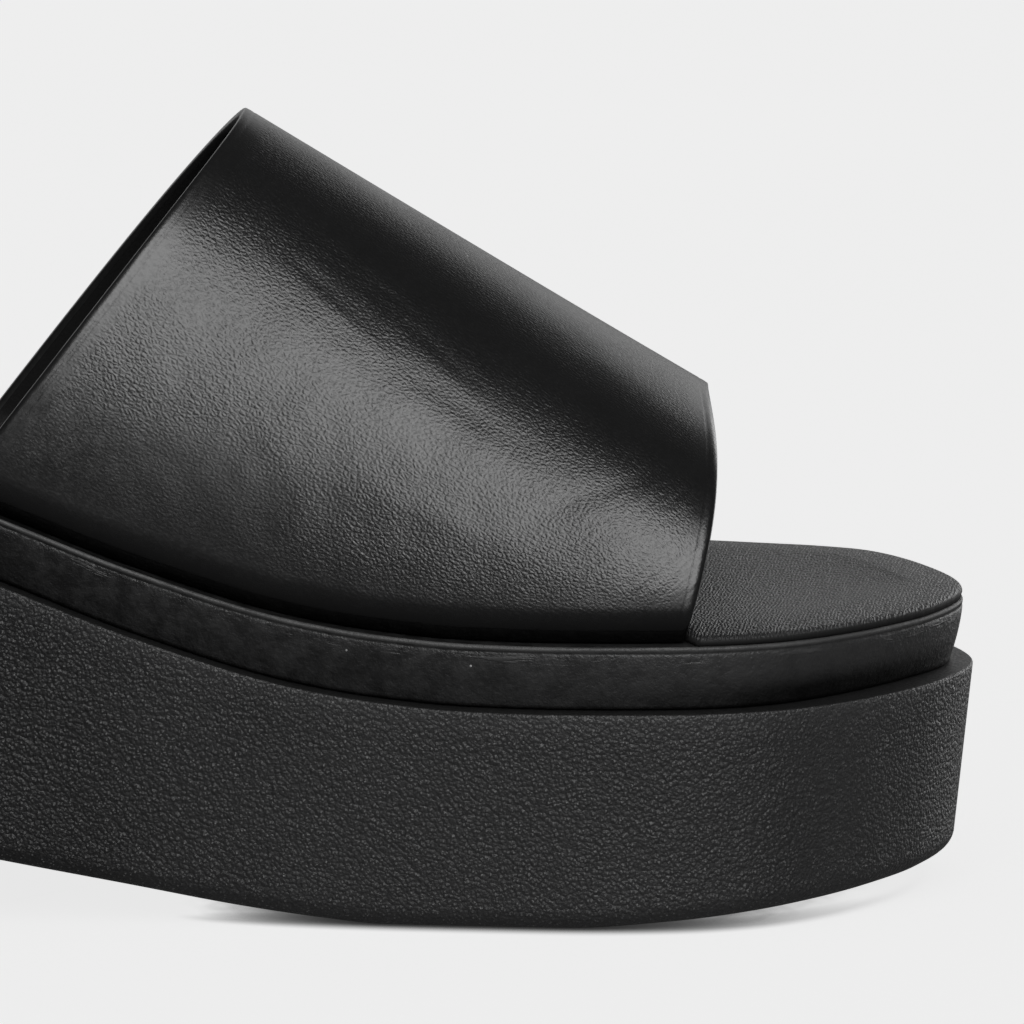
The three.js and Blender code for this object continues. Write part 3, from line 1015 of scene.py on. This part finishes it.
FLOOR_REACH = 14.0
SHADE_REACH = 0.0038
ELEVATION = math.radians(9.5)
DISTANCE = 1.3
LENS = 301.6

# What the camera looks at: its place along the footbed and its height, in millimetres
AIM_ALONG = 182.0
AIM_HEIGHT = 56.05
AIM = Vector(((AIM_ALONG + MIDDLE[0]) / 1000, MIDDLE[1] / 1000, AIM_HEIGHT / 1000))

# Lights, in metres and watts: name, place from AIM, width, height, power, seen in gloss
LIGHTS = (
    ("front_softbox", (0.25, -1.35, 0.83), 0.95, 1.2, 24.0, True),
    ("backdrop_light", (0.0, 2.6, 0.78), 5.0, 1.5, 13.0, True),
    ("side_softbox", (1.5, 1.6, 0.25), 1.7, 1.2, 15.0, True),
    ("top_softbox", (0.0, 0.0, 2.2), 3.2, 3.2, 32.0, False),
)


def make_floor():
    """A plain floor, darker only where the sole comes close to it."""
    mesh = bpy.data.meshes.new("floor")
    corners = [(x * FLOOR_REACH, y * FLOOR_REACH, 0) for x, y in ((-1, -1), (1, -1), (1, 1), (-1, 1))]
    mesh.from_pydata(corners, [], [(0, 1, 2, 3)])
    floor = bpy.data.objects.new("floor", mesh)
    bpy.context.scene.collection.objects.link(floor)
    finish = Finish("plain_floor", Roughness=0.9, Specular_IOR_Level=0.1, Emission_Strength=0.98)
    tone = finish.colour(finish.noise(finish.solid(), 3.0, 2.0), (0.8, 0.8, 0.8), (0.81, 0.81, 0.81))
    near = finish.node("AmbientOcclusion", {"Distance": SHADE_REACH}, samples=16).outputs["AO"]
    shaded = finish.over(finish.ramp(near, 1.0, 0.0), tone, (0.03, 0.03, 0.03))
    finish.tree.links.new(shaded, finish.shader.inputs["Emission Color"])
    floor.data.materials.append(finish.finish(shaded))
    floor.visible_glossy = False


def area_light(name, place, width, height, power, in_gloss):
    light = bpy.data.lights.new(name, "AREA")
    light.shape = "RECTANGLE"
    light.size, light.size_y, light.energy = width, height, power
    obj = bpy.data.objects.new(name, light)
    obj.location = AIM + Vector(place)
    obj.rotation_euler = (-Vector(place)).to_track_quat("-Z", "Y").to_euler()
    obj.visible_camera = False
    obj.visible_glossy = in_gloss
    bpy.context.scene.collection.objects.link(obj)
    return obj


make_floor()
sandal_only = bpy.data.collections.new("sandal_only")
for piece in (outsole, tread, midsole, insole, strap):
    sandal_only.objects.link(piece)
for row in LIGHTS:
    area_light(*row).light_linking.receiver_collection = sandal_only

world = bpy.data.worlds.new("studio")
world.use_nodes = True
background = world.node_tree.nodes["Background"].inputs
background["Color"].default_value = (1.0, 1.0, 1.0, 1.0)
background["Strength"].default_value = 0.08
bpy.context.scene.world = world
bpy.context.scene.view_settings.view_transform = "Standard"

camera = bpy.data.objects.new("camera", bpy.data.cameras.new("camera"))
camera.data.lens = LENS
camera.data.sensor_width = 36.0
camera.data.clip_end = 60.0
camera.location = AIM + DISTANCE * Vector((0, -math.cos(ELEVATION), math.sin(ELEVATION)))
camera.rotation_euler = (math.pi / 2 - ELEVATION, 0, 0)
bpy.context.scene.collection.objects.link(camera)
bpy.context.scene.camera = camera
